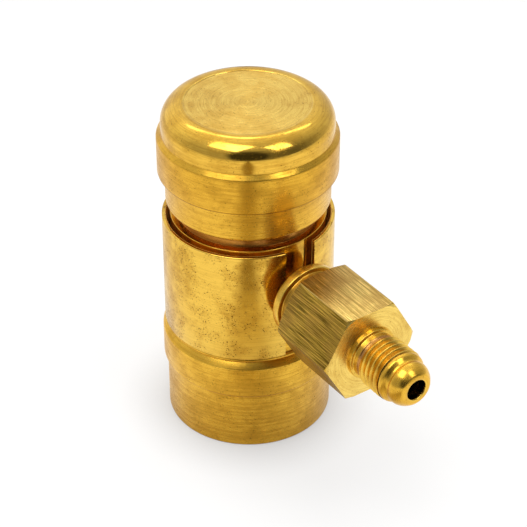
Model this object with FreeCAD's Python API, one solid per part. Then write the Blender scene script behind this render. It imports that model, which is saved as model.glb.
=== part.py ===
import FreeCAD, Part
import os
from math import atan2, cos, degrees, hypot, radians, sin, tan

# A ball-locking refrigerant quick coupler, standing on its socket end.
# Millimetres. The body's axis is Z, and the origin is the centre of the socket's mouth.
# Heights are measured up from the face that the coupler stands on.

# Clearances between pieces
running_gap = 0.08
press_gap = 0.02
stop_gap = 0.05
ball_gap = 0.03
ring_gap = 0.05

# Valve body across, from the socket outwards
socket_r = 8.0
nose_wall = 3.4
spring_room = 4.0
barrel_step = 0.98
thread_step = 1.3
neck_relief = 0.3
chamber_step = 0.5
seat_passage_r = 5.0

# Valve body along its axis, from the socket's mouth up
guide_bottom = 24.0
guide_length = 7.5
barrel_length = 18.0
neck_length = 5.0
thread_length = 9.5
socket_depth = 14.5
socket_floor = 2.5
body_edge = 0.3
barrel_edge = 0.4

# Slotted sleeve, and the wire ring that holds it on the collar
sleeve_play = 0.8
sleeve_wall = 0.9
sleeve_drop = 0.5
sleeve_edge = 0.25
slot_width = 7.2
slot_azimuth = -53.6
wire_section = 0.9
wire_groove_depth = 0.3

# Lock collar, which slides up over the nose to let go of the plug
foot_step = 0.3
foot_height = 13.2
ring_step = 0.5
ring_rise = 0.8
ring_height = 7.0
bevel_step = 0.6
bevel_height = 1.35
foot_edge = 0.3
release_play = 0.3
release_groove_top = 2.72
land_lead = 0.6
spring_ledge = 8.6
collar_travel = 3.3

# End cap
cap_gap = 0.2
cap_wall = 2.08
skirt_edge = 0.28
skirt_edge_height = 0.5
skirt_height = 7.25
band_step = 1.51
band_height = 7.85
ledge_height = 0.9
dome_step = 0.57
dome_height = 6.3
dome_round = 4.3
crown_rim = 4.8
crown_recess = 0.12
cap_edge = 0.2
cap_pocket_depth = 3.5
gasket_thickness = 1.5

# Side port; its lengths are measured away from the body
port_azimuth = -55.8
port_height = 38.4
shank_start = 1.0
shank_r = 2.75
shank_bore_r = 1.6
boss_gap = 2.0
boss_length = 2.0
boss_r = 8.0
boss_chamfer = 0.5
throat_r = 7.0
throat_length = 3.6
hex_length = 16.5
hex_flats = 19.0
hex_back_cut = 0.6
hex_front_cut = 0.22
hex_chamfer_angle = 30
port_bore_r = 2.2
port_bore_depth = 27.0

# Flare end of the port, with distances from the front of its hexagon
shoulder_r = 5.6
shoulder_length = 1.0
relief_r = 4.75
thread_start = 3.0
thread_end = 10.0
flare_thread_r = 5.55
flare_neck_start = 11.6
flare_neck_r = 4.7
cone_start = 12.9
cone_end_r = 3.2
flare_length = 14.5
nose_round = 0.4

# Seal of the port's shank
shank_seal_section = 1.3
shank_seal_inset = 3.5

# Locking balls
ball_reach = 0.57
ball_count = 6
ball_height = 5.1
pocket_lip = 0.08
pocket_step = 0.75
ball_groove_depth = 0.3
ball_groove_reach = 2.0

# Stop ring on the nose
stop_ring_thickness = 1.0
stop_groove_depth = 0.6
stop_ring_width = 2.1
stop_ring_opening = 5.0

# Springs; the pitch of their closed end turns is in wire thicknesses
closed_pitch = 1.1
open_turns = 3
collar_wire = 1.8
valve_wire = 1.0
valve_spring_r = 4.8
valve_spring_length = 9.48

# Washer under the barrel that the collar spring pushes on
washer_play = 0.17
washer_thickness = 0.8

# Socket seal with its backing ring
seal_section = 1.78
seal_squeeze = 0.23
seal_bottom = 10.6
backing_thickness = 1.0

# Poppet valve
seat_thickness = 1.9
seat_bore_r = 4.6
pilot_play = 0.25
pilot_lead = 0.6
pilot_taper = 1.4
probe_r = 2.0
probe_length = 5.2
head_r = 7.0
head_thickness = 2.6
seal_groove_inner_r = 5.1
seal_groove_outer_r = 6.3
seal_groove_depth = 1.2
soft_seal_gap = 0.3
stem_r = 2.2
stem_reach = 1.0

# Disc that guides the stem, and the ring above it
disc_thickness = 2.0
hub_wall = 1.32
hub_length = 2.2
flow_hole_r = 1.1
flow_circle_r = 6.2
flow_holes = 4
guide_ring_thickness = 1.0
guide_groove_depth = 0.6
guide_ring_width = 1.65
guide_ring_opening = 4.0

# Radii that follow from the sizes above, from the nose outwards
chamber_r = socket_r + chamber_step
nose_r = socket_r + nose_wall
land_r = nose_r + running_gap
ball_r = (nose_wall + ball_reach) / 2
ball_circle = land_r - ball_gap - ball_r
ball_groove_r = socket_r + ball_groove_depth
pocket_step_r = socket_r + pocket_step
stop_groove_r = nose_r - stop_groove_depth
stop_ring_r = stop_groove_r + stop_ring_width
release_groove_r = stop_ring_r + release_play
seal_groove_r = socket_r + seal_section - seal_squeeze
collar_bore = nose_r + spring_room
guide_r = collar_bore - running_gap
washer_r = guide_r - washer_play
barrel_r = guide_r + barrel_step
sleeve_bore = barrel_r + sleeve_play
sleeve_r = sleeve_bore + sleeve_wall
foot_r = sleeve_r - foot_step
ring_r = sleeve_r + ring_step
bevel_r = sleeve_r - bevel_step
spigot_r = sleeve_bore - press_gap
wire_ring_r = spigot_r - wire_groove_depth + press_gap + wire_section / 2
body_thread_r = barrel_r - thread_step
neck_r = body_thread_r - neck_relief
cap_bore = body_thread_r + ring_gap
skirt_r = cap_bore + cap_wall
skirt_edge_r = skirt_r - skirt_edge
band_r = skirt_r + band_step
dome_r = skirt_r + dome_step
crown_face_r = dome_r - crown_rim
pilot_r = seat_bore_r - pilot_play
hub_r = stem_r + running_gap + hub_wall
guide_groove_r = chamber_r + guide_groove_depth
guide_ring_r = guide_groove_r - ring_gap

# Heights that follow from the sizes above, from the socket's mouth up
ball_groove_bottom = ball_height - ball_groove_reach
ball_groove_top = ball_height + ball_groove_reach
stop_ring_top = release_groove_top - press_gap
stop_ring_bottom = stop_ring_top - stop_ring_thickness
ring_bottom = foot_height + ring_rise
ring_top = ring_bottom + ring_height
bevel_top = ring_top + bevel_height
sleeve_bottom = bevel_top + wire_section + stop_gap
washer_bottom = guide_bottom - washer_thickness
barrel_bottom = guide_bottom + guide_length
spigot_top = barrel_bottom - collar_travel - stop_gap
barrel_top = barrel_bottom + barrel_length
sleeve_top = barrel_top - sleeve_drop
neck_top = barrel_top + neck_length
body_top = neck_top + thread_length
skirt_bottom = sleeve_top + collar_travel + cap_gap
skirt_edge_top = skirt_bottom + skirt_edge_height
band_bottom = skirt_bottom + skirt_height
band_top = band_bottom + band_height
dome_bottom = band_top + ledge_height
cap_top = dome_bottom + dome_height
cap_ceiling = body_top + gasket_thickness
backing_bottom = seal_bottom + seal_section
seal_groove_top = backing_bottom + backing_thickness
chamber_bottom = socket_depth + socket_floor
seat_top = chamber_bottom + seat_thickness
pilot_bottom = chamber_bottom + pilot_lead
probe_top = pilot_bottom - pilot_taper
probe_bottom = probe_top - probe_length
head_bottom = seat_top + press_gap
head_top = head_bottom + head_thickness
disc_bottom = head_top + valve_spring_length
hub_bottom = disc_bottom - hub_length
guide_ring_bottom = disc_bottom + disc_thickness
guide_ring_top = guide_ring_bottom + guide_ring_thickness
stem_top = guide_ring_top + stem_reach

# Distances along the port that follow, from the body's axis outwards
shank_inner_end = chamber_r + shank_start
shank_seal_start = shank_inner_end + shank_seal_inset
shank_seal_r = shank_r + press_gap + shank_seal_section / 2
shank_groove_r = shank_seal_r + shank_seal_section / 2 + press_gap
boss_start = sleeve_r + boss_gap
boss_end = boss_start + boss_length
hex_start = boss_end + throat_length
hex_end = hex_start + hex_length
hex_corner_r = hex_flats / 2 / cos(radians(30))
port_end = hex_end + flare_length
bore_step = port_end - port_bore_depth

UP = FreeCAD.Vector(0, 0, 1)
ACROSS = FreeCAD.Vector(1, 0, 0)
ORIGIN = FreeCAD.Vector(0, 0, 0)


def at(r, z):
    return FreeCAD.Vector(r, 0, z)


def trimmed_corner(before, corner, after, cut, size):
    """Where a chamfer or a rounding starts and ends, and the middle of the rounding."""
    back = (before - corner).normalize()
    ahead = (after - corner).normalize()
    if cut == "chamfer":
        return corner + back * size, None, corner + ahead * size
    half = atan2((back - ahead).Length, (back + ahead).Length)
    inwards = (back + ahead).normalize()
    middle = corner + inwards * (size / sin(half) - size)
    return corner + back * (size / tan(half)), middle, corner + ahead * (size / tan(half))


def outline(corners):
    """Closed outline through (r, z) points; a point can also name its chamfer or rounding."""
    points = [at(corner[0], corner[1]) for corner in corners]
    trims = []
    for i, corner in enumerate(corners):
        if len(corner) == 2:
            trims.append((points[i], None, points[i]))
        else:
            following = points[(i + 1) % len(points)]
            trims.append(trimmed_corner(points[i - 1], points[i], following, *corner[2:]))
    edges = []
    for i, (start, middle, end) in enumerate(trims):
        if middle is not None:
            edges.append(Part.Arc(start, middle, end).toShape())
        elif start != end:
            edges.append(Part.makeLine(start, end))
        edges.append(Part.makeLine(end, trims[(i + 1) % len(trims)][0]))
    return Part.Wire(edges)


def turned(corners):
    """Solid turned about Z from half of its section."""
    return Part.Face(outline(corners)).revolve(ORIGIN, UP, 360)


def washer(inner, outer, bottom, top):
    return turned([(inner, bottom), (outer, bottom), (outer, top), (inner, top)])


def round_ring(middle_r, height, section):
    return Part.makeTorus(middle_r, section / 2, at(0, height), UP)


def open_ring(inner, outer, bottom, top, opening):
    """Spring ring, with its opening on the side away from the port."""
    gap = Part.makeBox(2 * outer, opening, 3 * (top - bottom))
    gap.translate(FreeCAD.Vector(0, -opening / 2, bottom - (top - bottom)))
    gap.rotate(ORIGIN, UP, port_azimuth + 180)
    return washer(inner, outer, bottom, top).cut(gap)


def coil_spring(middle_r, wire, bottom, top):
    """Compression spring with one closed turn at each end.

    It is a chain of half rings, each tilted until its far end meets the next one.
    """
    closed_climb = wire * closed_pitch / 2
    open_climb = (top - bottom - wire - 4 * closed_climb) / (2 * open_turns)
    climbs = 2 * [closed_climb] + 2 * open_turns * [open_climb] + 2 * [closed_climb]
    height = bottom + wire / 2
    halves = []
    for i, climb in enumerate(climbs):
        half = Part.makeTorus(hypot(middle_r, climb / 2), wire / 2, ORIGIN, UP, 0, 360, 180)
        half.rotate(ORIGIN, FreeCAD.Vector(0, 1, 0), degrees(atan2(climb / 2, middle_r)))
        half.rotate(ORIGIN, UP, 180 * i)
        half.translate(at(0, height + climb / 2))
        halves.append(half)
        height += climb
    return halves[0].fuse(halves[1:])


def to_port(shape):
    """Lay a solid that was turned about Z along the side port."""
    shape.rotate(ORIGIN, FreeCAD.Vector(0, 1, 0), 90)
    shape.rotate(ORIGIN, UP, port_azimuth)
    shape.translate(at(0, port_height))
    return shape


def hexagon_bar(corner_r, start, end):
    corners = []
    for i in range(7):
        angle = radians(30 + 60 * i)
        corners.append(FreeCAD.Vector(corner_r * cos(angle), corner_r * sin(angle), start))
    return Part.Face(Part.makePolygon(corners)).extrude(at(0, end - start))


def around_body(shape, count):
    """Copies of a shape round the body, with the port between two of them."""
    copies = []
    for i in range(count):
        copy = shape.copy()
        copy.rotate(ORIGIN, UP, port_azimuth + 360 / count * (i + 0.5))
        copies.append(copy)
    return copies


def valve_body():
    """One turned bar: socket and nose below, sprung guide land, barrel, neck and thread."""
    body = turned([
        (socket_r, 0),
        (nose_r, 0, "chamfer", body_edge),
        (nose_r, stop_ring_bottom),
        (stop_groove_r, stop_ring_bottom),
        (stop_groove_r, stop_ring_top),
        (nose_r, stop_ring_top),
        (nose_r, guide_bottom),
        (guide_r, guide_bottom, "chamfer", body_edge),
        (guide_r, barrel_bottom),
        (barrel_r, barrel_bottom, "chamfer", body_edge),
        (barrel_r, barrel_top, "chamfer", barrel_edge),
        (neck_r, barrel_top),
        (neck_r, neck_top),
        (body_thread_r, neck_top + body_thread_r - neck_r),
        (body_thread_r, body_top, "chamfer", body_edge),
        (chamber_r, body_top, "chamfer", body_edge),
        (chamber_r, guide_ring_top),
        (guide_groove_r, guide_ring_top),
        (guide_groove_r, guide_ring_bottom),
        (chamber_r, guide_ring_bottom),
        (chamber_r, chamber_bottom),
        (seat_passage_r, chamber_bottom),
        (seat_passage_r, socket_depth),
        (socket_r, socket_depth),
        (socket_r, seal_groove_top),
        (seal_groove_r, seal_groove_top),
        (seal_groove_r, seal_bottom),
        (socket_r, seal_bottom),
        (socket_r, ball_groove_top),
        (ball_groove_r, ball_groove_top),
        (ball_groove_r, ball_groove_bottom),
        (socket_r, ball_groove_bottom),
    ])
    passage = Part.makeCylinder(shank_bore_r, barrel_r)
    shank_hole = Part.makeCylinder(shank_r + press_gap, barrel_r, at(0, shank_inner_end))
    seal_groove = Part.makeCylinder(shank_groove_r, shank_seal_section, at(0, shank_seal_start))
    port = to_port(passage.fuse([shank_hole, seal_groove]))
    pocket = Part.makeCylinder(ball_r + ring_gap, nose_r, at(pocket_step_r, ball_height), ACROSS)
    lip = Part.makeCylinder(ball_r - pocket_lip, nose_r, at(0, ball_height), ACROSS)
    return body.cut([port] + around_body(pocket.fuse(lip), ball_count))


def end_cap():
    """Screwed cap with a wider gripping band and a rounded crown."""
    return turned([
        (0, cap_ceiling + cap_pocket_depth),
        (chamber_r, cap_ceiling + cap_pocket_depth),
        (chamber_r, cap_ceiling),
        (cap_bore, cap_ceiling),
        (cap_bore, skirt_bottom),
        (skirt_edge_r, skirt_bottom),
        (skirt_r, skirt_edge_top),
        (skirt_r, band_bottom),
        (band_r, band_bottom, "chamfer", cap_edge),
        (band_r, band_top, "chamfer", cap_edge),
        (dome_r, dome_bottom),
        (dome_r, cap_top, "round", dome_round),
        (crown_face_r, cap_top, "chamfer", crown_recess / 2),
        (crown_face_r, cap_top - crown_recess),
        (0, cap_top - crown_recess),
    ])


def lock_collar():
    """Foot, gripping ring and spigot outside; ball land and spring room inside."""
    return turned([
        (release_groove_r, 0),
        (foot_r, 0, "chamfer", foot_edge),
        (foot_r, foot_height),
        (ring_r, ring_bottom),
        (ring_r, ring_top),
        (bevel_r, bevel_top),
        (spigot_r - wire_groove_depth, bevel_top),
        (spigot_r - wire_groove_depth, bevel_top + wire_section),
        (spigot_r, bevel_top + wire_section),
        (spigot_r, spigot_top, "chamfer", sleeve_edge),
        (collar_bore, spigot_top, "chamfer", sleeve_edge),
        (collar_bore, spring_ledge),
        (land_r, spring_ledge),
        (land_r, release_groove_top + land_lead),
        (land_r + land_lead, release_groove_top),
        (release_groove_r, release_groove_top),
    ])


def slotted_sleeve():
    """Thin tube, open all the way down on the side of the port."""
    tube = turned([
        (sleeve_bore, sleeve_bottom),
        (sleeve_r, sleeve_bottom, "chamfer", sleeve_edge),
        (sleeve_r, sleeve_top, "chamfer", sleeve_edge),
        (sleeve_bore, sleeve_top),
    ])
    slot = Part.makeBox(2 * sleeve_r, slot_width, 2 * sleeve_top)
    slot.translate(FreeCAD.Vector(0, -slot_width / 2, 0))
    slot.rotate(ORIGIN, UP, slot_azimuth)
    return tube.cut(slot)


def sleeve_ring():
    return round_ring(wire_ring_r, bevel_top + wire_section / 2, wire_section)


def stop_ring():
    return open_ring(stop_groove_r + ring_gap, stop_ring_r,
                     stop_ring_bottom, stop_ring_top, stop_ring_opening)


def locking_balls():
    ball = Part.makeSphere(ball_r, at(ball_circle, ball_height))
    return Part.makeCompound(around_body(ball, ball_count))


def spring_washer():
    return washer(nose_r + ring_gap, washer_r, washer_bottom, guide_bottom)


def collar_spring():
    middle_r = (nose_r + collar_bore) / 2
    return coil_spring(middle_r, collar_wire, spring_ledge + press_gap,
                       washer_bottom - press_gap)


def nose_seal():
    return round_ring(seal_groove_r - seal_section / 2, seal_bottom + seal_section / 2,
                      seal_section)


def seal_backup_ring():
    return washer(socket_r + ring_gap, seal_groove_r - press_gap,
                  backing_bottom, seal_groove_top - press_gap)


def valve_seat():
    return turned([
        (seat_bore_r, chamber_bottom),
        (chamber_r - press_gap, chamber_bottom),
        (chamber_r - press_gap, seat_top),
        (seat_bore_r, seat_top, "chamfer", body_edge),
    ])


def poppet():
    """Probe, pilot, head with its seal groove, and stem."""
    return turned([
        (0, probe_bottom),
        (probe_r, probe_bottom, "round", probe_r / 2),
        (probe_r, probe_top),
        (pilot_r, pilot_bottom),
        (pilot_r, head_bottom),
        (seal_groove_inner_r, head_bottom),
        (seal_groove_inner_r, head_bottom + seal_groove_depth),
        (seal_groove_outer_r, head_bottom + seal_groove_depth),
        (seal_groove_outer_r, head_bottom),
        (head_r, head_bottom),
        (head_r, head_top, "chamfer", body_edge),
        (stem_r, head_top),
        (stem_r, stem_top, "chamfer", body_edge),
        (0, stem_top),
    ])


def poppet_seal():
    return washer(seal_groove_inner_r + press_gap, seal_groove_outer_r - press_gap,
                  seat_top + soft_seal_gap, head_bottom + seal_groove_depth)


def poppet_spring():
    return coil_spring(valve_spring_r, valve_wire, head_top + press_gap,
                       disc_bottom - press_gap)


def stem_guide():
    """Drilled disc with a hub that the stem runs in."""
    disc = turned([
        (stem_r + running_gap, hub_bottom),
        (hub_r, hub_bottom),
        (hub_r, disc_bottom),
        (chamber_r - ring_gap, disc_bottom),
        (chamber_r - ring_gap, guide_ring_bottom),
        (stem_r + running_gap, guide_ring_bottom),
    ])
    hole = Part.makeCylinder(flow_hole_r, guide_ring_bottom, at(flow_circle_r, 0))
    return disc.cut(around_body(hole, flow_holes))


def guide_ring():
    return open_ring(guide_ring_r - guide_ring_width, guide_ring_r,
                     guide_ring_bottom, guide_ring_top, guide_ring_opening)


def cap_gasket():
    return washer(chamber_r, cap_bore - ring_gap, body_top, cap_ceiling)


def hex_adapter():
    """Port in one piece: shank, boss, throat, hexagon and flare end, drilled through."""
    slope = tan(radians(hex_chamfer_angle))
    chamfered = turned([
        (0, hex_start),
        (hex_corner_r - hex_back_cut, hex_start),
        (hex_corner_r, hex_start + hex_back_cut * slope),
        (hex_corner_r, hex_end - hex_front_cut * slope),
        (hex_corner_r - hex_front_cut, hex_end),
        (0, hex_end),
    ])
    hexagon = hexagon_bar(hex_corner_r, hex_start, hex_end).common(chamfered)
    back = turned([
        (0, shank_inner_end),
        (shank_r, shank_inner_end),
        (shank_r, boss_start),
        (boss_r, boss_start, "chamfer", boss_chamfer),
        (boss_r, boss_end, "chamfer", body_edge),
        (throat_r, boss_end),
        (throat_r, hex_start),
        (0, hex_start),
    ])
    flare = turned([
        (0, hex_end),
        (shoulder_r, hex_end),
        (shoulder_r, hex_end + shoulder_length),
        (relief_r, hex_end + shoulder_length),
        (relief_r, hex_end + thread_start),
        (flare_thread_r, hex_end + thread_start, "chamfer", body_edge),
        (flare_thread_r, hex_end + thread_end),
        (flare_neck_r, hex_end + flare_neck_start),
        (flare_neck_r, hex_end + cone_start, "round", nose_round),
        (cone_end_r, port_end, "round", nose_round),
        (0, port_end),
    ])
    shank_bore = Part.makeCylinder(shank_bore_r, bore_step)
    bore = Part.makeCylinder(port_bore_r, port_bore_depth, at(0, bore_step))
    return to_port(hexagon.fuse([back, flare]).cut([shank_bore, bore]).removeSplitter())


def adapter_seal():
    middle = shank_seal_start + shank_seal_section / 2
    return to_port(round_ring(shank_seal_r, middle, shank_seal_section))


PIECES = [
    valve_body, end_cap, cap_gasket, hex_adapter, adapter_seal,
    lock_collar, slotted_sleeve, sleeve_ring, collar_spring, spring_washer, stop_ring,
    locking_balls, nose_seal, seal_backup_ring,
    valve_seat, poppet, poppet_seal, poppet_spring, stem_guide, guide_ring,
]

os.makedirs("parts", exist_ok=True)
for piece in PIECES:
    shape = piece()
    shape.exportStep("parts/" + piece.__name__ + ".step")
    print(piece.__name__, len(shape.Solids), shape.isValid(), round(shape.Volume, 2))
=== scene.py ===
# %% [markdown]
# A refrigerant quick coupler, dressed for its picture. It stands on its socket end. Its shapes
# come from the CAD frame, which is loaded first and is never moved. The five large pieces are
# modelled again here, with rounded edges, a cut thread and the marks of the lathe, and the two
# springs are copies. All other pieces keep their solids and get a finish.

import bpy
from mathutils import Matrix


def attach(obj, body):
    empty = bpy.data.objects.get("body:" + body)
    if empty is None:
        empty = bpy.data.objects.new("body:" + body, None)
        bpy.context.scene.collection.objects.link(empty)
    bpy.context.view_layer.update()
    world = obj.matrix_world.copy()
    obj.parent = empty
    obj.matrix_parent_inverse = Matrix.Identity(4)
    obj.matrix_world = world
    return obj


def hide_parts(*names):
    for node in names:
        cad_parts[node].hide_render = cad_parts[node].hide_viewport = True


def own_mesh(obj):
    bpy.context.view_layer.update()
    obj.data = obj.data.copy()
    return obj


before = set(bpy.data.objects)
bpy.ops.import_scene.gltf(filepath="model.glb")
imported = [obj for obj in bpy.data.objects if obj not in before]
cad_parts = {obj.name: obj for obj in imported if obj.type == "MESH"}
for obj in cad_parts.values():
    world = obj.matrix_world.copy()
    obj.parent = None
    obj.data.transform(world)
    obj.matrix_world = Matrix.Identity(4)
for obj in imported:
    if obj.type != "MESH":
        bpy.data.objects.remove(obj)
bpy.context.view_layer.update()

# %% Tools used all the way through
import bmesh
import bpy
from math import cos, hypot, pi, radians, sin
from mathutils import Vector

MM = 0.001


def deselect():
    """Leave edit mode and deselect every object."""
    if bpy.context.object and bpy.context.object.mode != "OBJECT":
        bpy.ops.object.mode_set(mode="OBJECT")
    bpy.ops.object.select_all(action="DESELECT")


deselect()
print("nodes in the frame:", sorted(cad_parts))

# %% [markdown]
# The photograph looks down on the coupler at 35 degrees, from straight in front, through a long
# lens. A camera's place, turn and focal length follow from the outline of the round steps: each
# step is an ellipse in the picture, and how flat the ellipses are, and how fast they shrink
# downwards, gives the height and the distance.

# %% Camera
camera_data = bpy.data.cameras.new("camera")
camera_data.lens = 123.47
camera_data.sensor_width = 36
camera_data.clip_start = 0.01
camera_data.clip_end = 20
camera = bpy.data.objects.new("camera", camera_data)
camera.location = (0, -0.31415, 0.2550)
camera.rotation_euler = (radians(55.03), 0, -0.0100)
bpy.context.scene.collection.objects.link(camera)
bpy.context.scene.camera = camera
bpy.context.scene.view_settings.view_transform = "Standard"
print("camera", tuple(camera.location), "lens", camera_data.lens)

# %% [markdown]
# Materials here are built from nodes by a few small helpers. The first ones do sums on single
# values and on vectors: they take numbers or sockets and give back the socket with the result,
# so that each finish stays short enough to read as a recipe.


# %% Helpers for sums
def math_node(tree, operation, a, b=None, clamp=False):
    """Math node on sockets or numbers; gives back its output."""
    node = tree.nodes.new("ShaderNodeMath")
    node.operation = operation
    node.use_clamp = clamp
    for socket, value in zip(node.inputs, (a, b)):
        if isinstance(value, (int, float)):
            socket.default_value = value
        elif value is not None:
            tree.links.new(value, socket)
    return node.outputs[0]


def vector_node(tree, operation, a, b=None):
    """Vector math node on sockets or tuples; gives back its outputs, by name."""
    node = tree.nodes.new("ShaderNodeVectorMath")
    node.operation = operation
    for socket, value in zip(node.inputs, (a, b)):
        if isinstance(value, tuple):
            socket.default_value = value
        elif value is not None:
            tree.links.new(value, socket)
    return node.outputs


def split_axes(tree, vector):
    """The x, y and z of a vector, as sockets."""
    node = tree.nodes.new("ShaderNodeSeparateXYZ")
    tree.links.new(vector, node.inputs[0])
    return node.outputs


def distance(tree, a, b):
    """Square root of the sum of two squares."""
    squares = [math_node(tree, "POWER", side, 2.0) for side in (a, b)]
    return math_node(tree, "SQRT", math_node(tree, "ADD", *squares))


def weighted(tree, *pairs):
    """Sum of sockets, each times its weight."""
    total = None
    for socket, weight in pairs:
        part = math_node(tree, "MULTIPLY", socket, weight)
        total = part if total is None else math_node(tree, "ADD", total, part)
    return total


print("helpers for sums ready")

# %% [markdown]
# The next helpers make what a finish is mixed from: a soft step between two limits, a noise and a
# mix of two colours. The last one tells a ray that comes straight from the camera from one that
# a shiny surface mirrors, so that the picture's ground can be white without lighting the metal.

# %% Helpers for patterns and colours
MIX_FIRST, MIX_SECOND, MIX_RESULT = 6, 7, 2  # a mix node's colour sockets, after its other kinds


def smooth_step(tree, value, low, high):
    """0 below low and 1 above high, eased between; falls from 1 to 0 where low is above high."""
    node = tree.nodes.new("ShaderNodeMapRange")
    node.interpolation_type = "SMOOTHSTEP"
    node.inputs["From Min"].default_value = min(low, high)
    node.inputs["From Max"].default_value = max(low, high)
    if low > high:
        node.inputs["To Min"].default_value = 1.0
        node.inputs["To Max"].default_value = 0.0
    tree.links.new(value, node.inputs["Value"])
    return node.outputs["Result"]


def noise(tree, vector, scale, detail=2.0, roughness=0.5):
    """Cloudy noise from 0 to 1; its scale is how many bumps lie in one unit of the vector."""
    node = tree.nodes.new("ShaderNodeTexNoise")
    node.inputs["Scale"].default_value = scale
    node.inputs["Detail"].default_value = detail
    node.inputs["Roughness"].default_value = roughness
    tree.links.new(vector, node.inputs["Vector"])
    return node.outputs["Fac"]


def mix_colours(tree, factor, a, b):
    """Colour a where factor is 0 and b where it is 1; a and b are colours or sockets."""
    node = tree.nodes.new("ShaderNodeMix")
    node.data_type = "RGBA"
    tree.links.new(factor, node.inputs["Factor"])
    for socket, value in ((node.inputs[MIX_FIRST], a), (node.inputs[MIX_SECOND], b)):
        if isinstance(value, tuple):
            socket.default_value = (*value, 1)
        else:
            tree.links.new(value, socket)
    return node.outputs[MIX_RESULT]


def tinted(tree, shade, mask, strength, tint):
    """A shade with a tint laid over it where the mask is 1, as strongly as strength says."""
    return mix_colours(tree, math_node(tree, "MULTIPLY", mask, strength), shade, tint)


def looked_at(tree, share):
    """1 for rays from the camera or through glass, and a smaller share for mirrored rays."""
    path = tree.nodes.new("ShaderNodeLightPath")
    seen = math_node(tree, "MAXIMUM", path.outputs["Is Camera Ray"],
                     path.outputs["Is Transmission Ray"])
    mirrored = math_node(tree, "MULTIPLY", path.outputs["Is Glossy Ray"], share)
    return math_node(tree, "MAXIMUM", seen, mirrored)


print("helpers for patterns and colours ready")

# %% [markdown]
# Polished brass shows mostly what stands around it, so the studio matters more than any lamp.
# A white tent would give an even gold. The photograph has one dark patch low in front, which
# shows as the dark oval on the dome of the cap, so the world is a pale tent that darkens towards
# the front and the right, with a dark opening in it. First comes the opening: how far a direction
# lies from its middle, and whether it lies in front at all.

# %% World: the dark opening in front
OPENING_HEIGHT = 0.30  # how high the opening's middle lies, as the z of a direction
OPENING_NARROWING = 1.8  # the larger these two are, the narrower and the lower it is
OPENING_FLATTENING = 1.7
OPENING_EDGE, OPENING_CORE = 0.95, 0.55  # where it begins to darken, and where it is darkest

world = bpy.data.worlds.new("tent")
bpy.context.scene.world = world
world.use_nodes = True
tree = world.node_tree
tree.nodes.clear()
x, y, z = split_axes(tree, tree.nodes.new("ShaderNodeTexCoord").outputs["Generated"])
across = math_node(tree, "MULTIPLY", x, OPENING_NARROWING)
rise = math_node(tree, "MULTIPLY", math_node(tree, "SUBTRACT", z, OPENING_HEIGHT),
                 OPENING_FLATTENING)
reach = distance(tree, across, rise)
in_front = smooth_step(tree, y, 0.0, -0.3)
opening = math_node(tree, "MULTIPLY", smooth_step(tree, reach, OPENING_EDGE, OPENING_CORE),
                    in_front)
print("opening", len(tree.nodes), "nodes")

# %% [markdown]
# The tent itself is brighter at the back, on the left and overhead. The world is the tent less
# its opening for all light and for what the metal mirrors, and plain white for the camera.

# %% World: the tent
TENT_LEAST = 0.13  # how bright the tent is at its darkest
OPENING_DEPTH = 0.98  # how much of the tent's light the opening takes away
WHITE_IN_METAL = 0.04  # share of the white ground that metal sees too

back_wall = smooth_step(tree, y, -0.5, 0.7)
left_wall = smooth_step(tree, x, 0.9, -0.9)
roof = smooth_step(tree, z, 0.3, 1.0)
tent = weighted(tree, (back_wall, 0.52), (left_wall, 0.36), (roof, 0.30))
tent = math_node(tree, "ADD", tent, TENT_LEAST)
closed = math_node(tree, "SUBTRACT", 1.0, math_node(tree, "MULTIPLY", opening, OPENING_DEPTH))
tent = math_node(tree, "MULTIPLY", tent, closed)
background = tree.nodes.new("ShaderNodeBackground")
background.inputs["Color"].default_value = (1, 1, 1, 1)
tree.links.new(math_node(tree, "MAXIMUM", looked_at(tree, WHITE_IN_METAL), tent),
               background.inputs["Strength"])
output = tree.nodes.new("ShaderNodeOutputWorld")
tree.links.new(background.outputs[0], output.inputs[0])
print("world", len(tree.nodes), "nodes")

# %% [markdown]
# Two soft boxes hang high on the left and on the right of the camera: their mirror images are the
# two bright spots on the dome. A long one behind draws a line of light on the far edges. A large
# one overhead lights the matt parts and the floor, and is hidden from mirrored rays, because a
# third bright spot would show on the crown. Area lamps are the plain choice: their size gives
# soft shadows and long highlights on metal.

# %% Soft boxes
AIM = Vector((0, 0, 0.04))


def soft_box(name, place, size, power, mirrored):
    """Area lamp that faces the coupler; one that isn't mirrored only lights."""
    data = bpy.data.lights.new(name, "AREA")
    data.shape = "RECTANGLE"
    data.size, data.size_y = size
    data.energy = power
    lamp = bpy.data.objects.new(name, data)
    lamp.location = place
    lamp.rotation_euler = (AIM - Vector(place)).to_track_quat("-Z", "Y").to_euler()
    lamp.visible_glossy = mirrored
    bpy.context.scene.collection.objects.link(lamp)
    return lamp


soft_box("box_left", (-0.16, -0.20, 0.56), (0.33, 0.34), 1.1, True)
soft_box("box_right", (0.31, -0.24, 0.54), (0.22, 0.30), 0.7, True)
soft_box("box_behind", (0, 0.40, 0.58), (0.60, 0.08), 0.35, True)
soft_box("box_above", (0.06, 0, 0.70), (0.50, 0.50), 1.9, False)

# %% [markdown]
# The floor is a sheet of paper with two finishes. What the brass mirrors is paper with painted
# light and shade on it: bright on both sides of the coupler, brownish in line with the camera, and
# darker still far out. It gives the walls of the coupler the warm bands that the photograph shows.

# %% Floor: the paper that the brass mirrors
# painted light and shade on the paper: bright beside the coupler, brownish in line, darker far out
PAPER_PAINTED_LIT_BESIDE = (0.72, 0.67, 0.55)
PAPER_PAINTED_SHADE_IN_LINE = (0.48, 0.40, 0.22)
PAPER_PAINTED_SHADE_FAR_OUT = (0.25, 0.19, 0.08)

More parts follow.
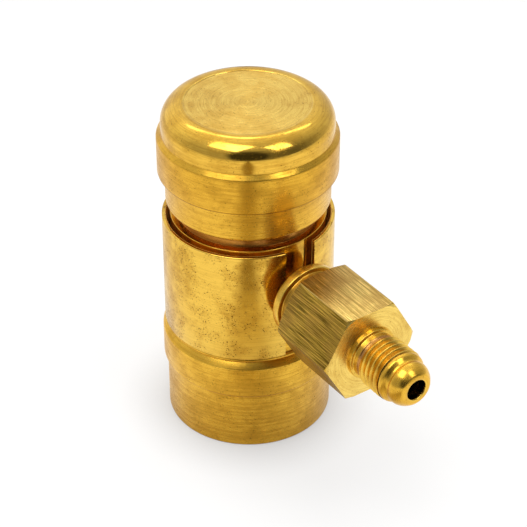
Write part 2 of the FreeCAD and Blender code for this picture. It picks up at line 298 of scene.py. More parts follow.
bpy.ops.mesh.primitive_plane_add(size=6, location=(0, 0, 0))
floor = bpy.context.object
floor.name = "floor"
floor_finish = bpy.data.materials.new("floor_paper")
floor_finish.use_nodes = True
floor.data.materials.append(floor_finish)
tree = floor_finish.node_tree
tree.nodes.clear()
floor_place = tree.nodes.new("ShaderNodeTexCoord").outputs["Object"]
floor_x = split_axes(tree, floor_place)[0]
from_foot = vector_node(tree, "LENGTH", floor_place)["Value"]
beside = smooth_step(tree, math_node(tree, "ABSOLUTE", floor_x), 8 * MM, 35 * MM)
far_out = smooth_step(tree, from_foot, 60 * MM, 100 * MM)
in_line = mix_colours(tree, far_out, PAPER_PAINTED_SHADE_IN_LINE, PAPER_PAINTED_SHADE_FAR_OUT)
paper = tree.nodes.new("ShaderNodeBsdfDiffuse")
tree.links.new(mix_colours(tree, beside, in_line, PAPER_PAINTED_LIT_BESIDE), paper.inputs["Color"])
deselect()
print("floor", tuple(floor.dimensions))

# %% [markdown]
# What the camera sees is nearly white, with the coupler's soft shadow still on it: a little matt
# surface and an even glow. The glow fades under the foot, where the two meet, and so paints a
# contact shadow there.

# %% Floor: the ground that the camera sees
GROUND_GREY = (0.33, 0.33, 0.33)
GLOW_LEAST = 0.22  # the glow right under the foot
GLOW_OPEN = 0.38  # what an open floor adds to it

matt_ground = tree.nodes.new("ShaderNodeBsdfDiffuse")
matt_ground.inputs["Color"].default_value = (*GROUND_GREY, 1)
# painted contact shadow: the glow is dimmed where the coupler's foot stands close
contact_shadow = tree.nodes.new("ShaderNodeAmbientOcclusion")
contact_shadow.inputs["Distance"].default_value = 12 * MM
glow = tree.nodes.new("ShaderNodeEmission")
tree.links.new(math_node(tree, "ADD", weighted(tree, (contact_shadow.outputs["AO"], GLOW_OPEN)),
                         GLOW_LEAST), glow.inputs["Strength"])
ground = tree.nodes.new("ShaderNodeAddShader")
tree.links.new(matt_ground.outputs[0], ground.inputs[0])
tree.links.new(glow.outputs[0], ground.inputs[1])
print("ground", len(tree.nodes), "nodes")

# %% [markdown]
# The camera gets the ground in full and the brass gets the paper, with a share of the bright
# ground mixed in as painted light where the photograph's reflections are pale: beside the coupler
# and close to its foot, most of all on the right.

# %% Floor: the two together
SHARE_LEAST = 0.02

# painted light: a pool of bright ground that the brass mirrors near the foot, most of all on the
# right
near = smooth_step(tree, from_foot, 55 * MM, 30 * MM)
near_right = math_node(tree, "MULTIPLY", near, smooth_step(tree, floor_x, 0.0, 30 * MM))
share = weighted(tree, (beside, 0.60), (near, 0.40), (near_right, 0.5))
share = math_node(tree, "ADD", share, SHARE_LEAST)
mix = tree.nodes.new("ShaderNodeMixShader")
tree.links.new(looked_at(tree, share), mix.inputs[0])
tree.links.new(paper.outputs[0], mix.inputs[1])
tree.links.new(ground.outputs[0], mix.inputs[2])
output = tree.nodes.new("ShaderNodeOutputMaterial")
tree.links.new(mix.outputs[0], output.inputs[0])
print("floor finish", len(tree.nodes), "nodes")

# %% [markdown]
# Nearly every piece of the coupler is turned: a lathe cuts one section all the way round. The
# plainest way to model it is the lathe's own: draw half of the section as a chain of corners,
# round the corners that show, and spin it about the axis. The section starts as one vertex,
# which is pushed out from corner to corner.

# %% Drawing a section
MERGE = 0.001 * MM  # vertices this close are one


def single_point(name, place):
    """New mesh of one vertex, left in edit mode to be drawn out."""
    deselect()
    bpy.ops.mesh.primitive_plane_add(size=MM)
    piece = bpy.context.object
    piece.name = name
    bpy.ops.object.mode_set(mode="EDIT")
    bpy.ops.mesh.select_mode(type="VERT")
    bpy.ops.mesh.merge(type="CENTER")
    bpy.ops.transform.translate(value=place)
    return piece


def pick(piece, kind, test):
    """In edit mode, select only the vertices, edges or faces that pass a test; count them."""
    bpy.ops.mesh.select_all(action="DESELECT")
    mesh = bmesh.from_edit_mesh(piece.data)
    chosen = [element for element in getattr(mesh, kind) if test(element)]
    for element in chosen:
        element.select_set(True)
    mesh.select_flush(True)
    bmesh.update_edit_mesh(piece.data)
    return len(chosen)


def corner_point(corner):
    """Where a corner of a section lies, in metres, from its radius and height in mm."""
    return Vector((corner[0] * MM, 0, corner[1] * MM))


def section_face(name, corners):
    """Flat face through (r, z) corners; a third number rounds a corner, a fourth sets its steps."""
    piece = single_point(name, corner_point(corners[0]))
    for before, corner in zip(corners, corners[1:]):
        step = corner_point(corner) - corner_point(before)
        bpy.ops.mesh.extrude_region_move(TRANSFORM_OT_translate={"value": step})
    bpy.ops.mesh.select_all(action="SELECT")
    bpy.ops.mesh.edge_face_add()
    for corner in corners:
        if len(corner) > 2:
            place = corner_point(corner)
            pick(piece, "verts", lambda v: (v.co - place).length < 2 * MERGE)
            steps = corner[3] if len(corner) > 3 else 3
            bpy.ops.mesh.bevel(affect="VERTICES", offset=corner[2] * MM, segments=steps)
    return piece


print("vertices merge within", MERGE / MM, "mm")

# %% [markdown]
# Spinning takes the outline alone, so the face is deleted first, and so is an edge that runs
# along the axis. A spun mesh can come out inside out: its doubled vertices are merged and its
# faces turned outwards.

# %% Turning a section
SMOOTH_ANGLE = radians(32)  # a sharper edge than this stays sharp


def on_axis(edge):
    """Whether both ends of an edge lie on the axis of the lathe."""
    return all(hypot(v.co.x, v.co.y) < MERGE for v in edge.verts)


def turned_piece(name, corners, steps=160):
    """Spin a section about Z; where it runs along the axis, that edge is left out."""
    piece = section_face(name, corners)
    bpy.ops.mesh.select_all(action="SELECT")
    bpy.ops.mesh.delete(type="ONLY_FACE")
    if pick(piece, "edges", on_axis):
        bpy.ops.mesh.delete(type="EDGE")
    bpy.ops.mesh.select_all(action="SELECT")
    bpy.ops.mesh.spin(steps=steps, angle=2 * pi, center=(0, 0, 0), axis=(0, 0, 1))
    bpy.ops.mesh.select_all(action="SELECT")
    bpy.ops.mesh.remove_doubles(threshold=MERGE)
    bpy.ops.mesh.normals_make_consistent(inside=False)
    bpy.ops.object.mode_set(mode="OBJECT")
    bpy.ops.object.shade_smooth_by_angle(angle=SMOOTH_ANGLE)
    print(name, len(piece.data.polygons), "faces")
    return piece


print("edges stay sharp from", round(SMOOTH_ANGLE * 180 / pi), "degrees")

# %% [markdown]
# What the lathe can't do is cut with another solid, as a drill or a milling cutter does, and the
# sharp edges that the cut leaves are broken with a narrow bevel. Both are modifiers that are
# applied at once, so that the piece ends as a plain mesh.


# %% Cutting and breaking edges
def apply_modifier(piece, kind, **settings):
    """Put a modifier on a piece with its settings and apply it."""
    deselect()
    piece.select_set(True)
    bpy.context.view_layer.objects.active = piece
    modifier = piece.modifiers.new(kind, kind)
    for key, value in settings.items():
        setattr(modifier, key, value)
    bpy.ops.object.modifier_apply(modifier=modifier.name)


def combine(piece, operation, other):
    """Cut a piece with another solid, or keep what both share; the other solid is used up."""
    apply_modifier(piece, "BOOLEAN", operation=operation, solver="EXACT", object=other)
    bpy.data.objects.remove(other)


def break_edges(piece, angle, width):
    """Bevel the edges that are sharper than an angle, by a width in mm."""
    apply_modifier(piece, "BEVEL", limit_method="ANGLE", angle_limit=radians(angle),
                   width=width * MM, segments=2)
    bpy.ops.object.shade_smooth_by_angle(angle=SMOOTH_ANGLE)


def settle():
    """Write the selected object's place, turn and scale into its mesh."""
    bpy.ops.object.transform_apply(location=True, rotation=True, scale=True)


print("tools for cutting ready")

# %% [markdown]
# The end cap is turned from one bar: a short skirt, a wider band for the hand, a small ledge and
# a dome with a flat, slightly sunk crown. The edges are broken just enough to catch a line of
# light.

# %% End cap
cap = turned_piece("end_cap_shell", [
    (0, 69.0), (8.5, 69.0), (8.5, 65.5), (15.05, 65.5), (15.05, 52.5, 0.1),
    (16.85, 52.5, 0.12), (17.13, 53.0, 0.15), (17.13, 59.75, 0.05), (18.64, 59.75, 0.22),
    (18.64, 67.6, 0.22), (17.7, 68.5, 0.1), (17.7, 74.8, 4.3, 20), (12.9, 74.8, 0.10),
    (12.82, 74.68, 0.05), (0, 74.68)])
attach(cap, "body")
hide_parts("end_cap")

# %% [markdown]
# The lock collar is what the hand pushes up. It is turned too: a foot, a gripping ring with a
# bevel above it, and a spigot that the sleeve sits on.

# %% Lock collar
collar = turned_piece("lock_collar_shell", [
    (13.2, 0), (17.7, 0, 0.3), (17.7, 13.2, 0.05), (18.5, 14.0, 0.2), (18.5, 21.0, 0.2),
    (17.4, 22.35, 0.1), (16.78, 22.35), (16.78, 23.25), (17.08, 23.25), (17.08, 28.15, 0.2),
    (15.4, 28.15, 0.2), (15.4, 8.6), (11.48, 8.6), (11.48, 3.32), (12.08, 2.72), (13.2, 2.72)])
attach(collar, "shell")
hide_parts("lock_collar")

# %% [markdown]
# The sleeve is a thin tube with a slot from top to bottom that clears the side port. The tube is
# turned first, in finer steps than most pieces, because its upper edge is a long clean curve in
# the middle of the picture.

# %% Sleeve: turned
sleeve = turned_piece("slotted_sleeve_shell", [
    (17.1, 23.3, 0.06), (18.0, 23.3, 0.22), (18.0, 49.0, 0.25), (17.1, 49.0, 0.2)], steps=192)
print("sleeve before the slot:", len(sleeve.data.vertices), "vertices")

# %% [markdown]
# The slot is cut with a box, as a milling cutter would. Of the box only the width counts: it is
# longer than the sleeve and deeper than its wall. Its middle lies two degrees to the right of the
# port, where the photograph shows the slot beside the port's boss.

# %% Sleeve: slotted
SLOT_AZIMUTH = radians(-53.6)
SLOT_WIDTH = 7.2
deselect()
bpy.ops.mesh.primitive_cube_add(
    size=1, location=(18 * MM * cos(SLOT_AZIMUTH), 18 * MM * sin(SLOT_AZIMUTH), 36 * MM),
    rotation=(0, 0, SLOT_AZIMUTH), scale=(24 * MM, SLOT_WIDTH * MM, 60 * MM))
cutter = bpy.context.object
settle()
combine(sleeve, "DIFFERENCE", cutter)
break_edges(sleeve, 40, 0.08)
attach(sleeve, "shell")
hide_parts("slotted_sleeve")
print("sleeve", len(sleeve.data.polygons), "faces")

# %% [markdown]
# The valve body is the long bar inside: socket and nose at the bottom, the barrel behind the
# sleeve, and above it the neck that shows between sleeve and cap. All of it is turned.

# %% Valve body: turned
body = turned_piece("valve_body_shell", [
    (8, 0, 0.05), (11.4, 0, 0.3), (11.4, 1.7), (10.8, 1.7), (10.8, 2.7), (11.4, 2.7), (11.4, 24),
    (15.32, 24, 0.3), (15.32, 31.5), (16.3, 31.5, 0.3), (16.3, 49.5, 0.12), (14.7, 49.5, 0.1),
    (14.7, 54.5), (15, 54.8), (15, 64, 0.3), (8.5, 64, 0.3), (8.5, 34), (9.1, 34), (9.1, 33),
    (8.5, 33), (8.5, 17), (5, 17), (5, 14.5), (8, 14.5), (8, 13.38), (9.55, 13.38), (9.55, 10.6),
    (8, 10.6), (8, 7.1), (8.3, 7.1), (8.3, 3.1), (8, 3.1)], steps=192)

# %% [markdown]
# Holes then go across the bar. Towards the port there are three on one line: the passage, the
# hole for the port's shank and the groove for its seal. Low in the nose are the six pockets of
# the locking balls, each with a narrower lip inside that keeps its ball from falling in.

# %% Valve body: drilled
PORT_AZIMUTH = radians(-55.8)
PORT_AXIS = (cos(PORT_AZIMUTH), sin(PORT_AZIMUTH), 0)
PORT_HEIGHT = 38.4 * MM
BALLS = 6
BALL_HEIGHT = 5.1 * MM


def drill(piece, radius, start, end, azimuth, height):
    """Cut a round hole across the axis, from one distance in mm to another."""
    deselect()
    middle = (start + end) / 2 * MM
    bpy.ops.mesh.primitive_cylinder_add(
        vertices=48, radius=radius * MM, depth=(end - start) * MM,
        location=(middle * cos(azimuth), middle * sin(azimuth), height),
        rotation=(0, radians(90), azimuth))
    bit = bpy.context.object
    settle()
    combine(piece, "DIFFERENCE", bit)


for radius, start, end in ((1.6, 0, 10), (2.77, 9.5, 17), (4.09, 13, 14.3)):
    drill(body, radius, start, end, PORT_AZIMUTH, PORT_HEIGHT)
for turn in range(BALLS):
    azimuth = PORT_AZIMUTH + radians(360 / BALLS * turn + 30)
    for radius, start, end in ((1.9, 7, 9), (2.03, 8.75, 12)):
        drill(body, radius, start, end, azimuth, BALL_HEIGHT)
bpy.ops.object.shade_smooth_by_angle(angle=SMOOTH_ANGLE)
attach(body, "body")
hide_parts("valve_body")
print("valve body", len(body.data.polygons), "faces")

# %% [markdown]
# The side port is one piece of hexagon bar, turned at both ends: a thin shank goes into the body,
# a boss stands behind the hexagon, and the flare end carries a thread and a polished nose. It is
# modelled on its own axis and then laid over, the way it would come off the lathe. First comes
# the turned core, which runs through the hexagon.

# %% Side port: turned core
core = turned_piece("port_adapter", [
    (1.6, 9.5), (2.75, 9.5, 0.2), (2.75, 20), (8, 20, 0.5), (8, 22, 0.25), (7, 22, 0.2),
    (7, 41.5), (5.6, 41.5), (5.6, 43.1, 0.18, 4), (4.95, 43.1, 0.15), (4.9, 44.2, 0.1),
    (4.7, 44.4, 0.1), (4.6, 45.3), (4.6, 51.5), (5.35, 51.5), (5.35, 52.15, 0.3),
    (4.5, 52.9, 0.3), (4.5, 53.4, 0.2), (4.72, 53.8, 0.2), (4.66, 55.0, 1.1, 8),
    (3.3, 56.6, 0.5, 5), (2.2, 56.6, 0.2), (2.2, 29.6), (1.6, 29.6)])

# %% [markdown]
# The hexagon is a six-sided bar whose ends are chamfered on the lathe, so each corner ends in a
# curve. A turned solid with both chamfers, kept only where it meets the bar, gives that curve.

# %% Side port: hexagon
HEX_CORNER_R = 10.97
HEX_LENGTH = 16.5
HEX_MIDDLE = 33.85
deselect()
bpy.ops.mesh.primitive_cylinder_add(
    vertices=6, radius=HEX_CORNER_R * MM, depth=HEX_LENGTH * MM, location=(0, 0, HEX_MIDDLE * MM))
hexagon = bpy.context.object
hexagon.name = "hexagon"
settle()
lathe_solid = turned_piece("chamfers", [
    (0, 25.6), (9.93, 25.6), (12.0, 26.8), (12.0, 41.1), (10.59, 41.88), (10.2, 42.1), (0, 42.1)])
combine(hexagon, "INTERSECT", lathe_solid)
break_edges(hexagon, 20, 0.20)
print("hexagon", len(hexagon.data.polygons), "faces")

# %% [markdown]
# The thread is a true helix. One pitch of its zigzag is drawn as the sections are, and swept
# round and up in right-handed turns.

# %% Side port: thread, swept
PITCH = 1.27
CREST_R = 5.55
ROOT_R = 4.86
FLANK = 0.397
CREST_FLAT = 0.159
THREAD_LOW = 43.6
THREAD_TURNS = 8
STEPS_IN_A_TURN = 72
thread = single_point("thread", (ROOT_R * MM, 0, THREAD_LOW * MM))
for out, up in ((CREST_R - ROOT_R, FLANK), (0, CREST_FLAT), (ROOT_R - CREST_R, FLANK),
                (0, PITCH - 2 * FLANK - CREST_FLAT)):
    bpy.ops.mesh.extrude_region_move(TRANSFORM_OT_translate={"value": (out * MM, 0, up * MM)})
bpy.ops.object.mode_set(mode="OBJECT")
apply_modifier(thread, "SCREW", angle=2 * pi, screw_offset=PITCH * MM, iterations=THREAD_TURNS,
               steps=STEPS_IN_A_TURN, render_steps=STEPS_IN_A_TURN, use_merge_vertices=True,
               merge_threshold=MERGE, use_smooth_shade=False)
print("swept thread", len(thread.data.polygons), "faces")

# %% [markdown]
# The sweep leaves ragged ends. They are cut flat and closed, and the rod is then trimmed by a
# turned shape whose chamfered ends let the thread run out softly.

# %% Side port: thread, cut to length
CUT_BELOW = THREAD_LOW + 1.3
CUT_ABOVE = THREAD_LOW + 8.4
bpy.ops.object.mode_set(mode="EDIT")
bpy.ops.mesh.select_all(action="SELECT")
bpy.ops.mesh.remove_doubles(threshold=MERGE)
for height, lower in ((CUT_BELOW, True), (CUT_ABOVE, False)):
    bpy.ops.mesh.select_all(action="SELECT")
    bpy.ops.mesh.bisect(plane_co=(0, 0, height * MM), plane_no=(0, 0, 1), use_fill=True,
                        clear_inner=lower, clear_outer=not lower)
bpy.ops.mesh.select_all(action="SELECT")
bpy.ops.mesh.normals_make_consistent(inside=False)
bpy.ops.object.mode_set(mode="OBJECT")
trim = turned_piece("thread_trim", [
    (0, 44.9), (4.7, 44.9), (5.5, 45.5), (5.6, 45.5), (5.6, 51.0), (5.3, 51.8), (0, 51.8)])
combine(thread, "INTERSECT", trim)
bpy.ops.object.shade_smooth_by_angle(angle=radians(25))
print("thread", len(thread.data.polygons), "faces")

# %% [markdown]
# The three parts of the port are joined into one mesh and laid over: the axis points out to the
# right and towards the camera, square to the body.

# %% Side port: laid over
deselect()
for part in (hexagon, thread, core):
    part.select_set(True)
bpy.context.view_layer.objects.active = core
bpy.ops.object.join()
core.rotation_euler = (0, radians(90), PORT_AZIMUTH)
core.location = (0, 0, PORT_HEIGHT)
settle()
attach(core, "body")
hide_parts("hex_adapter")
print("port", len(core.data.polygons), "faces", tuple(core.dimensions))

# %% [markdown]
# Two pieces change their shape: a coil spring shortens as its joint moves. The solids are rigid,
# so a copy of each spring stands for it. The copy's loose triangles are merged into one skin.


# %% Springs
def shortening_spring(name, node):
    """Copy of a spring's mesh, merged into one skin, in place of the spring node, which is hidden.
    """
    spring = bpy.data.objects.new(name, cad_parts[node].data.copy())
    bpy.context.scene.collection.objects.link(spring)
    deselect()
    spring.select_set(True)
    bpy.context.view_layer.objects.active = spring
    bpy.ops.object.mode_set(mode="EDIT")
    bpy.ops.mesh.select_all(action="SELECT")
    bpy.ops.mesh.remove_doubles(threshold=MERGE)
    bpy.ops.object.mode_set(mode="OBJECT")
    bpy.ops.object.shade_smooth_by_angle(angle=radians(40))
    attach(spring, "body")
    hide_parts(node)
    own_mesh(spring)
    return spring


collar_coil = shortening_spring("collar_coil", "collar_spring")
poppet_coil = shortening_spring("poppet_coil", "poppet_spring")

# %% [markdown]
# A finish is measured from the axis that its piece was turned on, so that its marks lie as the
# lathe left them. For most pieces that is the coupler's upright axis. The port was laid over, so
# its finish is laid back the same way first.


# %% Where a finish is measured from
def piece_coordinates(tree, along_port):
    """Object coordinates; for the port, with their last axis along the port."""
    coordinates = tree.nodes.new("ShaderNodeTexCoord").outputs["Object"]
    if not along_port:
        return coordinates
    lay_back = tree.nodes.new("ShaderNodeMapping")
    lay_back.vector_type = "TEXTURE"
    lay_back.inputs["Location"].default_value = (0, 0, PORT_HEIGHT)
    lay_back.inputs["Rotation"].default_value = (0, radians(90), PORT_AZIMUTH)
    tree.links.new(coordinates, lay_back.inputs["Vector"])
    return lay_back.outputs[0]


def stretched(tree, x, y, z, scales):
    """Vector from three sockets, each times its own scale."""
    vector = tree.nodes.new("ShaderNodeCombineXYZ")
    for socket, value, scale in zip(vector.inputs, (x, y, z), scales):
        tree.links.new(math_node(tree, "MULTIPLY", value, scale), socket)
    return vector.outputs[0]


def between(tree, value, low, high):
    """1 where value lies between two limits in mm, with soft ends."""
    above = smooth_step(tree, value, (low - 0.1) * MM, (low + 0.1) * MM)
    below = smooth_step(tree, value, (high + 0.1) * MM, (high - 0.1) * MM)
    return math_node(tree, "MULTIPLY", above, below)


def zone(tree, radius, height, radii, heights):
    """1 where radius and height both lie between their limits in mm."""
    return math_node(tree, "MULTIPLY", between(tree, radius, *radii),
                     between(tree, height, *heights))


print("port axis", PORT_AXIS, "at height", PORT_HEIGHT)

# %% [markdown]
# Every finish starts and ends alike. It starts as a new material with its one shader, and its
# last step is a bump: fine marks that are far too small to be modelled tilt the surface a little.


# %% How a finish starts and ends
def new_finish(name, metallic):
    """New material; gives back the material, its node tree and its shader."""
    finish = bpy.data.materials.new(name)
    finish.use_nodes = True
    shader = finish.node_tree.nodes["Principled BSDF"]
    shader.inputs["Metallic"].default_value = metallic
    return finish, finish.node_tree, shader


def add_bump(tree, shader, height, strength, depth):
    """Bump from a height of 0 to 1 that stands for a depth in mm."""
    bump = tree.nodes.new("ShaderNodeBump")
    bump.inputs["Strength"].default_value = strength
    bump.inputs["Distance"].default_value = depth * MM
    tree.links.new(height, bump.inputs["Height"])
    tree.links.new(bump.outputs[0], shader.inputs["Normal"])


print("materials so far:", [finish.name for finish in bpy.data.materials])

# %% [markdown]
# Turned brass carries fine rings from the lathe tool. On a wall they run round the piece, and on
# a face they are circles. Both follow one number, the distance along the section, which is about
# the radius less the height, so one noise that is stretched along the other two directions gives
# every turned face its marks. Larger noises add tarnish, and small dark specks add handling.

# %% Marks on turned brass
RING_DRIFT = 15  # noise bumps to the metre along a ring: so few that it runs right round
SCUFFS = (250, 250, 3500)  # short marks: the last number is across them


def lathe_marks(tree, x, y, along, pitch):
    """Rings that lie a pitch in mm apart, with shorter scuffs between them."""
    across_rings = 1 / (pitch * MM)
    rings = noise(tree, stretched(tree, x, y, along, (RING_DRIFT, RING_DRIFT, across_rings)),
                  1.0, 3.0, 0.6)
    scuffs = noise(tree, stretched(tree, x, y, along, SCUFFS), 1.0, 3.0, 0.65)
    return weighted(tree, (rings, 0.5), (scuffs, 0.5))


def age_marks(tree, coordinates, specks):
    """Tarnished patches, and dark specks that lie thickest in some of them."""
    broad = noise(tree, coordinates, 90.0, 3.0, 0.6)
    cloud = noise(tree, coordinates, 260.0, 4.0, 0.65)
    dots = noise(tree, coordinates, 3300.0, 2.0, 0.6)
    worn = smooth_step(tree, weighted(tree, (broad, 0.5), (cloud, 0.5)), 0.42, 0.62)
    more = 0.08 * specks
    dark_dots = math_node(tree, "MULTIPLY", smooth_step(tree, dots, 0.66 - more, 0.74 - more),
                          smooth_step(tree, cloud, 0.38, 0.56))
    return worn, dark_dots


def ring_shine(tree, shader, along_port):
    """Stretch the metal's mirror across the rings, which run around the piece's own axis."""
    coordinates = tree.nodes.new("ShaderNodeTexCoord").outputs["Object"]
    foot = (0, 0, PORT_HEIGHT if along_port else 0)
    axis = PORT_AXIS if along_port else (0, 0, 1)
    from_axis = vector_node(tree, "SUBTRACT", coordinates, foot)["Vector"]
    around = vector_node(tree, "CROSS_PRODUCT", axis, from_axis)["Vector"]
    tree.links.new(around, shader.inputs["Tangent"])
    shader.inputs["Anisotropic"].default_value = 0.7
    shader.inputs["Anisotropic Rotation"].default_value = 0.25


print("marks ready")

# %% [markdown]
# One recipe then serves all turned brass. Colours are laid over each other from the bottom up:
# the metal, tints and painted light and shade at given places, tarnish, the dark of the rings and
# the specks. Roughness follows the same marks. A place can be polished, or made matt, as the
# inside of the sleeve is.

# %% Turned brass
RING_TINT = 0.6  # how much of a ring's mark shows as colour
SPECK_SHADE = 0.35  # how dark a speck is beside the tarnish


def turned_brass(name, colour, dull, rough, mark, along_port=False, tarnish=0.5, specks=0.5,
                 pitch=0.4, tones_and_painted_light=(), polish=(), matt=()):
    """Brass with lathe rings; dull is the colour of its tarnish, pitch the ring spacing in mm.

    A layer is a colour, its strength, and the radii and heights in mm between which it lies: a
    tint of the brass, or painted light or shade. A polish is what comes off the roughness and matt
    what comes off the metal's mirror, each with its radii and heights.
    """
    finish, tree, shader = new_finish(name, 1.0)
    coordinates = piece_coordinates(tree, along_port)
    x, y, z = split_axes(tree, coordinates)
    radius = distance(tree, x, y)
    fine = lathe_marks(tree, x, y, math_node(tree, "SUBTRACT", radius, z), pitch)
    streak = smooth_step(tree, fine, 0.43, 0.60)
    worn, dark_dots = age_marks(tree, coordinates, specks)

    shade = colour
    # each layer is a tint of the brass, or painted light or shade laid on at its place
    for layer_colour, strength, radii, heights in tones_and_painted_light:
        shade = tinted(tree, shade, zone(tree, radius, z, radii, heights), strength, layer_colour)
    shade = tinted(tree, shade, worn, tarnish, dull)
    shade = tinted(tree, shade, streak, mark * RING_TINT, dull)
    shade = tinted(tree, shade, dark_dots, specks, tuple(part * SPECK_SHADE for part in dull))
    tree.links.new(shade, shader.inputs["Base Color"])

    roughness = weighted(tree, (streak, 0.08), (worn, 0.08), (dark_dots, 0.3 * specks))
    for amount, radii, heights in polish:
        smoother = math_node(tree, "MULTIPLY", zone(tree, radius, z, radii, heights), amount)
        roughness = math_node(tree, "SUBTRACT", roughness, smoother)
    for amount, radii, heights in matt:
        place = zone(tree, radius, z, radii, heights)
        mirror = math_node(tree, "SUBTRACT", 1.0, math_node(tree, "MULTIPLY", place, amount))
        tree.links.new(mirror, shader.inputs["Metallic"])
        roughness = math_node(tree, "ADD", roughness, math_node(tree, "MULTIPLY", place, 0.3))
    tree.links.new(math_node(tree, "ADD", roughness, rough, True), shader.inputs["Roughness"])

    ring_shine(tree, shader, along_port)
    add_bump(tree, shader, weighted(tree, (fine, mark), (dark_dots, -specks)), 0.5, 0.02)
    print("finish", name, len(tree.nodes), "nodes")
    return finish


print("recipe for turned brass ready")

# %% [markdown]
# The pieces differ in colour, in how even the cut is and in how much handling they show. The cap
# has a paler crown and dome, with the dome's rounding and crown's rim polished by the hand, and a
# dark line of painted shade under the band's lower edge, where the band meets the skirt. The
# sleeve is thin, smooth and much tarnished, and matt inside, where it is also painted a paler gold
# so that the gap between sleeve and barrel looks lit. The body is copper-coloured, with gold laid
# over the barrel and half of it over the neck above.

# %% Brass of the cap, the collar, the sleeve and the body
GOLD = (0.88, 0.52, 0.060)
PALE_GOLD = (0.90, 0.58, 0.095)
DULL = (0.50, 0.25, 0.020)
COPPER = (0.55, 0.25, 0.045)
cap_brass = turned_brass(
    "cap_brass", GOLD, DULL, 0.24, 0.7, tarnish=0.45, specks=0.7, pitch=0.35,
    tones_and_painted_light=[((0.93, 0.64, 0.14), 1.0, (-1, 13.2), (74, 80)),  # crown
            ((0.89, 0.55, 0.08), 1.0, (13.2, 18), (68.6, 80)),  # dome
            ((0.82, 0.46, 0.045), 0.7, (17.4, 19), (59.7, 67.6)),  # band
            # painted shade: a dark line under the band's lower edge, where it overhangs the skirt
            ((0.30, 0.13, 0.01), 0.9, (18.2, 19), (59.55, 60.05))],  # band's lower edge
    polish=[(0.17, (12.6, 18), (68.6, 76))])
collar_brass = turned_brass("collar_brass", GOLD, DULL, 0.24, 0.8, tarnish=0.50, specks=0.7)
# painted light: the inside of the sleeve is a paler gold so that the gap to the barrel looks lit;
# it is made matt too
SLEEVE_INSIDE = ((16, 17.3), (-1, 60))
sleeve_brass = turned_brass(
    "sleeve_brass", PALE_GOLD, DULL, 0.12, 0.30, tarnish=0.65, specks=1.0,
    tones_and_painted_light=[((0.95, 0.55, 0.12), 1.0, *SLEEVE_INSIDE)], matt=[(0.7, *SLEEVE_INSIDE)])
BARREL = ((15, 30), (-1, 50))
UPPER_NECK = ((-1, 30), (51.2, 80))
neck_brass = turned_brass(
    "neck_brass", COPPER, (0.22, 0.07, 0.02), 0.20, 0.5, tarnish=0.5, specks=0.3,
    tones_and_painted_light=[(GOLD, 1.0, *BARREL), (GOLD, 0.5, *UPPER_NECK)], polish=[(0.10, *BARREL)])

# %% [markdown]
# The port is a paler brass, cleaner than the body. Its corners get painted shade: behind the
# boss, between boss and hexagon, under the thread and in the thread's roots. The hexagon's outer
# face is painted paler and its long edges get pale lines, both painted highlights, and its bore is
# painted black as shade, because no light of the studio comes back out of it. The valve inside is
# plain brass.

# %% Brass of the port and the valve
port_brass = turned_brass(
    "port_brass", (0.92, 0.60, 0.10), DULL, 0.19, 0.5, along_port=True, tarnish=0.35, specks=0.6,
    # painted shade in the roots of the thread
    tones_and_painted_light=[((0.70, 0.36, 0.06), 0.35, (4.5, 5.2), (45, 51.6)),  # roots of the thread
            # painted highlight: the hexagon's outer face is paler, for the pale reflection it shows
            ((0.96, 0.70, 0.18), 1.0, (5.7, 12), (41.9, 42.4)),  # hexagon's outer face
            # painted shade in the groove below the thread
            ((0.50, 0.20, 0.09), 0.8, (4.4, 5.0), (44.1, 45)),  # groove below the thread
            # painted shade on the back of the boss
            ((0.20, 0.09, 0.015), 0.9, (2.5, 7.6), (19.7, 20.3)),  # back of the boss
            # painted shade between boss and hexagon
            ((0.25, 0.12, 0.02), 0.8, (6.7, 12), (22.2, 26.3)),  # between boss and hexagon
            ((0.90, 0.53, 0.06), 0.9, (2.5, 5.6), (51.6, 58)),  # flare nose
            # painted highlight: pale lines along the hexagon's long edges
            ((1.0, 0.86, 0.52), 1.0, (10.6, 12), (26.5, 41)),  # hexagon's long edges
            # painted shade: the bore is painted near black, as no light comes back out of it
            ((0.02, 0.012, 0.004), 1.0, (-1, 2.3), (-1, 56.2))])  # bore
valve_brass = turned_brass("valve_brass", GOLD, DULL, 0.2, 0.5)

# %% [markdown]
# The hexagon's flats were never turned. They are drawn bar, brushed lengthwise: long scratches,
# darker than the turned faces, some of them worn down to bright gold. Two noises that are drawn
# out along the port make the scratches. In the photograph the flat on top is lighter than the
# others, so it gets lighter colours, by its height: painted light on the top flat.

# %% Brushed flats
FINE_SCRATCHES = (14000, 14000, 160)  # noise bumps to the metre, across the port and along it
COARSE_SCRATCHES = (7500, 7500, 100)
TOP_FLAT = (PORT_HEIGHT + 9.2 * MM, PORT_HEIGHT + 9.4 * MM)  # only the top flat lies above these


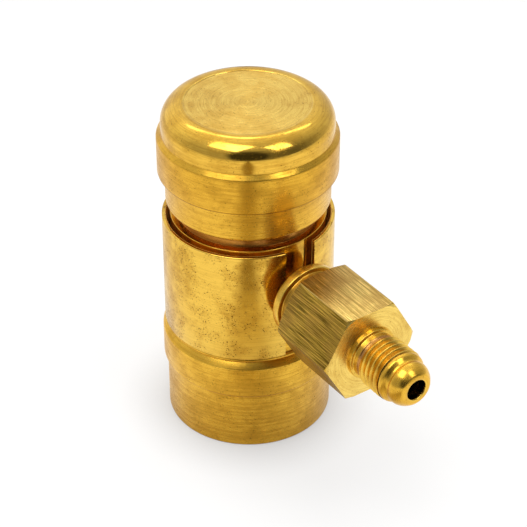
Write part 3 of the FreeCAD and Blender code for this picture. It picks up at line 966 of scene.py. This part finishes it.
def brushed_brass(name):
    """Drawn brass bar with scratches along the port, with painted light on its top flat."""
    finish, tree, shader = new_finish(name, 1.0)
    coordinates = piece_coordinates(tree, True)
    x, y, z = split_axes(tree, coordinates)
    fine = noise(tree, stretched(tree, x, y, z, FINE_SCRATCHES), 1.0, 1.0, 0.5)
    coarse = noise(tree, stretched(tree, x, y, z, COARSE_SCRATCHES), 1.0, 1.0, 0.5)
    cloud = noise(tree, coordinates, 220.0, 4.0, 0.65)
    bright = smooth_step(tree, weighted(tree, (fine, 0.6), (coarse, 0.4)), 0.46, 0.58)
    worn = smooth_step(tree, cloud, 0.42, 0.62)
    height = split_axes(tree, piece_coordinates(tree, False))[2]
    # painted light: the top flat gets lighter colours than the lower flats, by its height
    painted_top_light = smooth_step(tree, height, *TOP_FLAT)
    dark = mix_colours(tree, painted_top_light, (0.15, 0.09, 0.008), (0.38, 0.245, 0.055))
    gold = mix_colours(tree, painted_top_light, (0.74, 0.46, 0.07), (0.96, 0.68, 0.21))
    shade = tinted(tree, mix_colours(tree, bright, dark, gold), worn, 0.4, (0.34, 0.18, 0.04))
    tree.links.new(shade, shader.inputs["Base Color"])
    roughness = weighted(tree, (fine, 0.20), (worn, 0.10))
    tree.links.new(math_node(tree, "ADD", roughness, 0.22, True), shader.inputs["Roughness"])
    add_bump(tree, shader, weighted(tree, (fine, 0.5), (coarse, 0.5)), 0.4, 0.01)
    print("finish", name, len(tree.nodes), "nodes")
    return finish


port_flats = brushed_brass("port_flats")

# %% [markdown]
# The other pieces are hidden inside, or show only from below: steel springs and rings, polished
# balls, rubber seals and a white backing ring. One plain recipe is enough for them: an even
# colour with a fine grain.


# %% Steel, rubber and plastic
def plain_finish(name, colour, metallic, rough, grain, depth):
    """One base colour broken up by a fine grain in colour, roughness and bump."""
    finish, tree, shader = new_finish(name, metallic)
    coordinates = piece_coordinates(tree, False)
    fine = noise(tree, coordinates, grain, 3.0, 0.6)
    wide = noise(tree, coordinates, grain / 8)
    darker = tuple(part * 0.75 for part in colour)
    tree.links.new(mix_colours(tree, smooth_step(tree, wide, 0.35, 0.7), colour, darker),
                   shader.inputs["Base Color"])
    tree.links.new(math_node(tree, "ADD", weighted(tree, (fine, 0.15)), rough),
                   shader.inputs["Roughness"])
    add_bump(tree, shader, fine, 0.4, depth)
    return finish


spring_steel = plain_finish("spring_steel", (0.55, 0.54, 0.52), 1.0, 0.25, 1200, 0.01)
ball_steel = plain_finish("ball_steel", (0.72, 0.72, 0.72), 1.0, 0.06, 800, 0.002)
black_rubber = plain_finish("black_rubber", (0.018, 0.018, 0.018), 0.0, 0.5, 1500, 0.01)
white_plastic = plain_finish("white_plastic", (0.78, 0.77, 0.74), 0.0, 0.4, 1500, 0.005)
print("finishes:", len(bpy.data.materials))

# %% [markdown]
# Every piece gets its finish. The port takes two: its six flats are brushed, and everything
# turned on it is not. A flat is told by its normal, which is square to the port's axis, and by
# its distance from that axis.

# %% Finishes on the pieces
FLAT_NEAR, FLAT_FAR = 9.4 * MM, 10.6 * MM


def dress(mesh, *finishes):
    """Give a mesh these finishes and no others."""
    mesh.materials.clear()
    for finish in finishes:
        mesh.materials.append(finish)


for piece, finish in ((cap, cap_brass), (collar, collar_brass), (sleeve, sleeve_brass),
                      (body, neck_brass), (collar_coil, spring_steel), (poppet_coil, spring_steel)):
    dress(piece.data, finish)
dress(core.data, port_brass, port_flats)
port_axis = Vector(PORT_AXIS)
port_foot = Vector((0, 0, PORT_HEIGHT))
flats = 0
for face in core.data.polygons:
    offset = face.center - port_foot
    from_axis = (offset - port_axis * offset.dot(port_axis)).length
    if abs(face.normal.dot(port_axis)) < 0.02 and FLAT_NEAR < from_axis < FLAT_FAR:
        face.material_index = 1
        flats += 1
print("brushed faces:", flats)

# %% [markdown]
# The nodes of the frame get a finish too, also those that a piece here replaces, so that the
# solids look right wherever they show.

# %% Finishes on the nodes
FINISHES = {
    "end_cap": cap_brass, "lock_collar": collar_brass, "slotted_sleeve": sleeve_brass,
    "valve_body": neck_brass, "hex_adapter": port_brass, "sleeve_ring": collar_brass,
    "valve_seat": valve_brass, "poppet": valve_brass, "stem_guide": valve_brass,
    "collar_spring": spring_steel, "poppet_spring": spring_steel, "spring_washer": spring_steel,
    "stop_ring": spring_steel, "guide_ring": spring_steel, "locking_balls": ball_steel,
    "nose_seal": black_rubber, "adapter_seal": black_rubber, "poppet_seal": black_rubber,
    "seal_backup_ring": white_plastic, "cap_gasket": white_plastic,
}
for node, finish in FINISHES.items():
    dress(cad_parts[node].data, finish)
print("finished nodes:", len(FINISHES))
